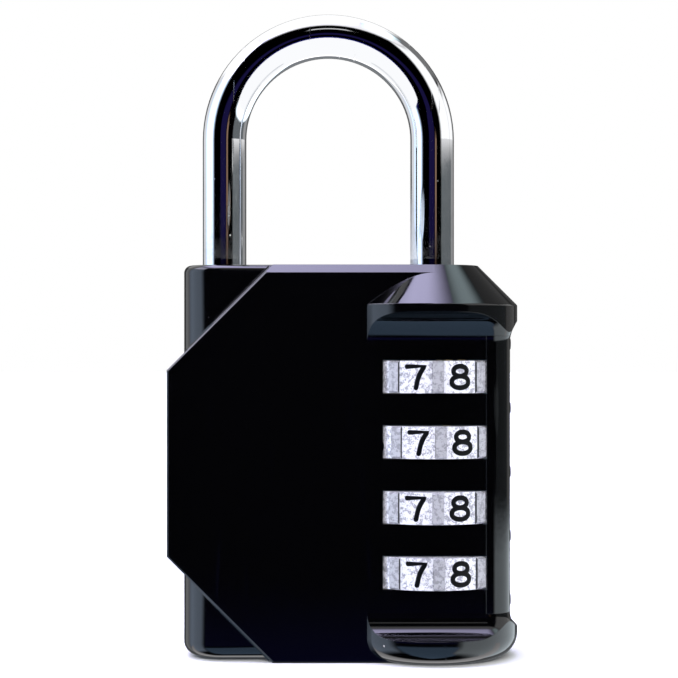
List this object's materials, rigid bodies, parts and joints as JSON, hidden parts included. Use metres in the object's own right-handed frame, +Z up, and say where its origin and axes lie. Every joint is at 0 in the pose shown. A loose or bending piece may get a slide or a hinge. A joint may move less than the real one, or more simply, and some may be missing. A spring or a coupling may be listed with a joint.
{
  "type": "combination padlock",
  "caption": "Black cast padlock with a chrome bow shackle that lifts, and a column of ribbed number dials that turn in slots through the body",
  "frame": {"origin": "middle of the bounding box seen from above, at the height of the body's underside", "axes": "+Z up along the shackle's legs, -Y towards the front face, +X towards the dial side"},
  "size_m": [0.0432, 0.0212, 0.0799],
  "materials": {
    "black_enamel": "gloss black enamel on die-cast zinc",
    "chrome": "polished chrome plate on steel",
    "dial_metal": "satin nickel plate",
    "brass": "turned, plain",
    "spring_steel": "plain"
  },
  "bodies": {
    "lock_body": {"body": "black_enamel", "side_cover": "black_enamel", "cover_dowels": "spring_steel", "bottom_plug": "black_enamel", "spring_washer": "spring_steel", "sleeve_spring": "spring_steel", "click_spring_1": "spring_steel", "click_spring_2": "spring_steel", "click_spring_3": "spring_steel", "click_spring_4": "spring_steel"},
    "shackle_set": {"shackle": "chrome", "retaining_ring": "spring_steel"},
    "dial_set_1": {"dial_1": "dial_metal", "code_sleeve_1": "brass"},
    "dial_set_2": {"dial_2": "dial_metal", "code_sleeve_2": "brass"},
    "dial_set_3": {"dial_3": "dial_metal", "code_sleeve_3": "brass"},
    "dial_set_4": {"dial_4": "dial_metal", "code_sleeve_4": "brass"}
  },
  "joints": [
    {"name": "shackle_lift", "type": "slide", "parent": "lock_body", "child": "shackle_set", "axis": [0, 0, 1], "range_m": [0, 0.006]},
    {"name": "dial_1_turn", "type": "hinge", "parent": "lock_body", "child": "dial_set_1", "pos_m": [0.011, 0, 0.03481], "axis": [0, 0, 1], "continuous": true, "deforming": ["click_spring_1"]},
    {"name": "dial_2_turn", "type": "hinge", "parent": "lock_body", "child": "dial_set_2", "pos_m": [0.011, 0, 0.02687], "axis": [0, 0, 1], "continuous": true, "deforming": ["click_spring_2"]},
    {"name": "dial_3_turn", "type": "hinge", "parent": "lock_body", "child": "dial_set_3", "pos_m": [0.011, 0, 0.01893], "axis": [0, 0, 1], "continuous": true, "deforming": ["click_spring_3"]},
    {"name": "dial_4_turn", "type": "hinge", "parent": "lock_body", "child": "dial_set_4", "pos_m": [0.011, 0, 0.01099], "axis": [0, 0, 1], "continuous": true, "deforming": ["click_spring_4"]}
  ]
}
